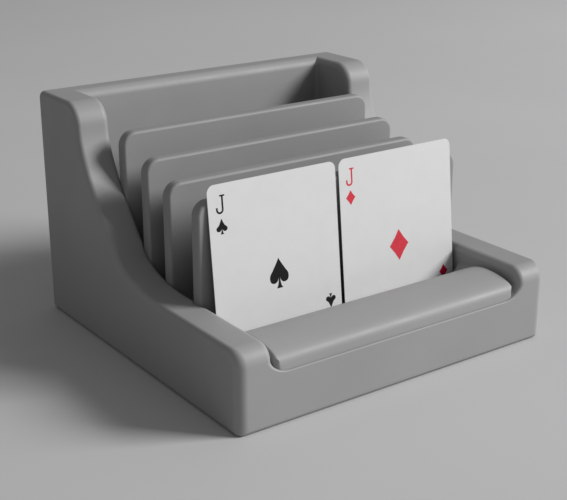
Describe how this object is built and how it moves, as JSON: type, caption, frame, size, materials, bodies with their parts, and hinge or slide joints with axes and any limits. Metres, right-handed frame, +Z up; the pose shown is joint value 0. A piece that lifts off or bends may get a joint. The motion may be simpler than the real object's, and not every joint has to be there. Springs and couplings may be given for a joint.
{
  "type": "playing card rack",
  "caption": "Tiered tabletop rack that stands playing cards in upright slots between stepped dividers, with swept side walls and a domed front rail.",
  "frame": {"origin": "on the table under the middle of the tray", "axes": "+Z up, +Y from the front rail towards the high back wall, +X to the right seen from the front"},
  "size_m": [0.162, 0.159, 0.1044],
  "materials": {
    "tray_plastic": "fine matt moulded grey, soft rounded edges",
    "divider_plastic": "fine matt moulded grey",
    "rail_plastic": "fine matt moulded grey",
    "base_plastic": "dark matt plate",
    "foot_rubber": "black matt rubber",
    "screw_steel": "zinc-plated steel",
    "card_stock": "coated white card with printed pips and index"
  },
  "bodies": {
    "rack": {"tray": "tray_plastic", "divider_back": "divider_plastic", "divider_upper": "divider_plastic", "divider_lower": "divider_plastic", "divider_front": "divider_plastic", "front_rail": "rail_plastic", "base_plate": "base_plastic", "divider_screw_1": "screw_steel", "divider_screw_2": "screw_steel", "divider_screw_3": "screw_steel", "divider_screw_4": "screw_steel", "divider_screw_5": "screw_steel", "divider_screw_6": "screw_steel", "divider_screw_7": "screw_steel", "divider_screw_8": "screw_steel", "plate_screw_1": "screw_steel", "plate_screw_2": "screw_steel", "plate_screw_3": "screw_steel", "plate_screw_4": "screw_steel", "rail_screw_1": "screw_steel", "rail_screw_2": "screw_steel", "foot_1": "foot_rubber", "foot_2": "foot_rubber", "foot_3": "foot_rubber", "foot_4": "foot_rubber"},
    "spades_card": {"card_spades": "card_stock"},
    "diamonds_card": {"card_diamonds": "card_stock"}
  },
  "joints": [
    {"name": "spades_card_lift", "type": "slide", "parent": "rack", "child": "spades_card", "axis": [0, 0.1052, 0.9944], "range_m": [0, 0.1]},
    {"name": "diamonds_card_lift", "type": "slide", "parent": "rack", "child": "diamonds_card", "axis": [0, 0.1052, 0.9944], "range_m": [0, 0.1]}
  ]
}
